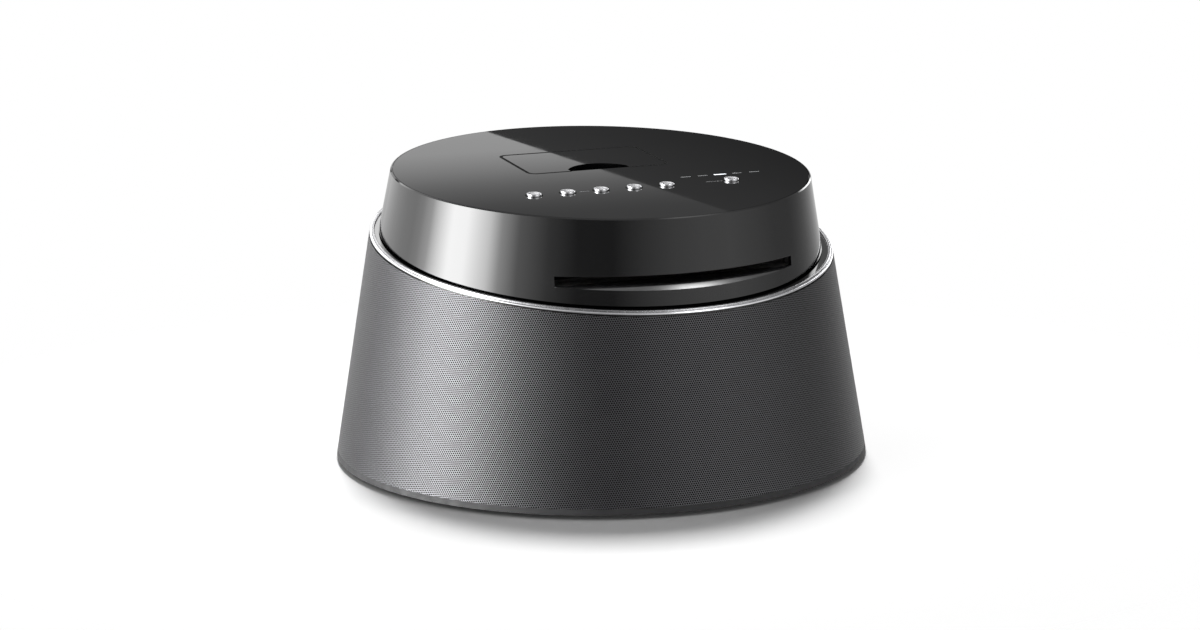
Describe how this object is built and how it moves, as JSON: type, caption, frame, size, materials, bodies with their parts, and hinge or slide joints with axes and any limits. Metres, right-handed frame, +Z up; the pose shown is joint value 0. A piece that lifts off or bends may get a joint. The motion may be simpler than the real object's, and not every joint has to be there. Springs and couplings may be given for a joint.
{
  "type": "slot-loading disc player with dock",
  "caption": "Round slot-loading disc player: a perforated speaker cone carries a glossy tapered drum with a disc slot, a sloping top panel, a dock door and chrome buttons.",
  "frame": {"origin": "centre of the body on the surface that it stands on", "axes": "+Z up, -Y out of the disc slot at the front, +X to the right of someone who faces the front"},
  "size_m": [0.28, 0.28, 0.1588],
  "materials": {
    "base_plastic": "fine texture",
    "foot_rubber": "matt",
    "screw_steel": "blackened",
    "cabinet_plastic": "fine texture",
    "grille_metal": "satin, perforated",
    "bead_metal": "polished",
    "gloss_black": "high gloss",
    "well_plastic": "fine texture",
    "contact_plastic": "moulded",
    "pin_steel": "ground",
    "button_chrome": "polished",
    "lamp_lens": "clear light guide",
    "circuit_board": "solder resist",
    "switch_plastic": "moulded",
    "felt": "felt",
    "rear_plastic": "fine texture",
    "inlet_plastic": "moulded",
    "jack_metal": "plated",
    "socket_metal": "plated",
    "driver_steel": "satin",
    "cone_paper": "pressed fibre",
    "surround_rubber": "matt",
    "magnet_ferrite": "ground",
    "heat_sink_aluminium": "extruded",
    "core_steel": "varnished",
    "loader_steel": "zinc plated",
    "roller_rubber": "matt",
    "motor_steel": "plated",
    "gear_plastic": "moulded",
    "shaft_steel": "ground",
    "traverse_plastic": "glass filled",
    "turntable_plastic": "moulded"
  },
  "bodies": {
    "housing": {"base_plate": "base_plastic", "rubber_feet": "foot_rubber", "case_screws": "screw_steel", "cabinet": "cabinet_plastic", "grille": "grille_metal", "trim_ring": "bead_metal", "deck_ring": "gloss_black", "drum_shell": "gloss_black", "slot_mouth": "gloss_black", "top_panel": "gloss_black", "dock_well": "well_plastic", "dock_connector": "contact_plastic", "indicator_lenses": "lamp_lens", "key_board": "circuit_board", "key_switches": "switch_plastic", "slot_felts": "felt", "rear_panel": "rear_plastic", "mains_inlet": "inlet_plastic", "phono_jacks": "jack_metal", "line_in_jack": "switch_plastic", "aerial_socket": "socket_metal", "usb_socket": "socket_metal", "bass_port": "rear_plastic", "left_driver_frame": "driver_steel", "right_driver_frame": "driver_steel", "cone_surrounds": "surround_rubber", "driver_magnets": "magnet_ferrite", "main_board": "circuit_board", "heat_sink": "heat_sink_aluminium", "power_board": "circuit_board", "transformer": "core_steel", "loader_chassis": "loader_steel", "loader_cover": "loader_steel", "loader_bushes": "roller_rubber", "loader_screws": "shaft_steel", "loading_motor": "motor_steel", "traverse_frame": "traverse_plastic", "guide_rods": "shaft_steel", "spindle_motor": "motor_steel", "sled_motor": "motor_steel"},
    "dock_door": {"dock_door": "gloss_black", "door_pins": "pin_steel"},
    "button_1": {"button_1": "button_chrome"},
    "button_2": {"button_2": "button_chrome"},
    "button_3": {"button_3": "button_chrome"},
    "button_4": {"button_4": "button_chrome"},
    "button_5": {"button_5": "button_chrome"},
    "source_button": {"source_button": "button_chrome"},
    "left_cone": {"left_cone": "cone_paper"},
    "right_cone": {"right_cone": "cone_paper"},
    "turntable": {"turntable": "turntable_plastic"},
    "clamp_arm": {"clamp_arm": "loader_steel"},
    "clamp_puck": {"clamp_puck": "turntable_plastic"},
    "loading_roller": {"loading_roller": "roller_rubber", "roller_shaft": "shaft_steel", "roller_gear": "gear_plastic"},
    "idler_gear": {"idler_gear": "gear_plastic"},
    "loading_pinion": {"loading_pinion": "gear_plastic"},
    "pickup_sled": {"pickup_sled": "traverse_plastic"},
    "lead_screw": {"lead_screw": "shaft_steel"}
  },
  "joints": [
    {"name": "door_hinge", "type": "hinge", "parent": "housing", "child": "dock_door", "pos_m": [0, 0.03799, 0.15235], "axis": [-1, 0, 0], "range_deg": [0, 85]},
    {"name": "button_1_press", "type": "slide", "parent": "housing", "child": "button_1", "axis": [0, 0.0732, -0.9973], "range_m": [0, 0.0007], "stiffness_N_per_m": 800, "springref_m": -0.001},
    {"name": "button_2_press", "type": "slide", "parent": "housing", "child": "button_2", "axis": [0, 0.0732, -0.9973], "range_m": [0, 0.0007], "stiffness_N_per_m": 800, "springref_m": -0.001},
    {"name": "button_3_press", "type": "slide", "parent": "housing", "child": "button_3", "axis": [0, 0.0732, -0.9973], "range_m": [0, 0.0007], "stiffness_N_per_m": 800, "springref_m": -0.001},
    {"name": "button_4_press", "type": "slide", "parent": "housing", "child": "button_4", "axis": [0, 0.0732, -0.9973], "range_m": [0, 0.0007], "stiffness_N_per_m": 800, "springref_m": -0.001},
    {"name": "button_5_press", "type": "slide", "parent": "housing", "child": "button_5", "axis": [0, 0.0732, -0.9973], "range_m": [0, 0.0007], "stiffness_N_per_m": 800, "springref_m": -0.001},
    {"name": "source_button_press", "type": "slide", "parent": "housing", "child": "source_button", "axis": [0, 0.0732, -0.9973], "range_m": [0, 0.0007], "stiffness_N_per_m": 800, "springref_m": -0.001},
    {"name": "left_cone_travel", "type": "slide", "parent": "housing", "child": "left_cone", "axis": [-0.7327, -0.6598, 0.1668], "range_m": [-0.0015, 0.0015], "stiffness_N_per_m": 1500},
    {"name": "right_cone_travel", "type": "slide", "parent": "housing", "child": "right_cone", "axis": [0.7327, -0.6598, 0.1668], "range_m": [-0.0015, 0.0015], "stiffness_N_per_m": 1500},
    {"name": "turntable_spin", "type": "hinge", "parent": "housing", "child": "turntable", "pos_m": [0, -0.008, 0.1131], "axis": [0, 0, 1], "continuous": true},
    {"name": "clamp_lift", "type": "hinge", "parent": "housing", "child": "clamp_arm", "pos_m": [0, 0.06, 0.1221], "axis": [1, 0, 0], "range_deg": [-3, 0]},
    {"name": "puck_spin", "type": "hinge", "parent": "clamp_arm", "child": "clamp_puck", "pos_m": [0, -0.008, 0.1131], "axis": [0, 0, 1], "continuous": true},
    {"name": "roller_spin", "type": "hinge", "parent": "housing", "child": "loading_roller", "pos_m": [0, -0.07552, 0.1084], "axis": [1, 0, 0], "continuous": true},
    {"name": "idler_spin", "type": "hinge", "parent": "housing", "child": "idler_gear", "pos_m": [0.063, -0.0649, 0.10454], "axis": [1, 0, 0], "continuous": true},
    {"name": "pinion_spin", "type": "hinge", "parent": "housing", "child": "loading_pinion", "pos_m": [0.063, -0.04826, 0.1016], "axis": [1, 0, 0], "continuous": true},
    {"name": "sled_slide", "type": "slide", "parent": "housing", "child": "pickup_sled", "axis": [0, 1, 0], "range_m": [0, 0.034]},
    {"name": "screw_spin", "type": "hinge", "parent": "housing", "child": "lead_screw", "pos_m": [-0.031, 0, 0.1051], "axis": [0, 1, 0], "range_deg": [0, 4081]}
  ],
  "couplings": [
    {"joint": "puck_spin", "follows": "turntable_spin", "ratio": 1},
    {"joint": "idler_spin", "follows": "roller_spin", "ratio": -1.3333},
    {"joint": "pinion_spin", "follows": "roller_spin", "ratio": 4.2667},
    {"joint": "screw_spin", "follows": "sled_slide", "rad_per_m": 2094.4}
  ]
}
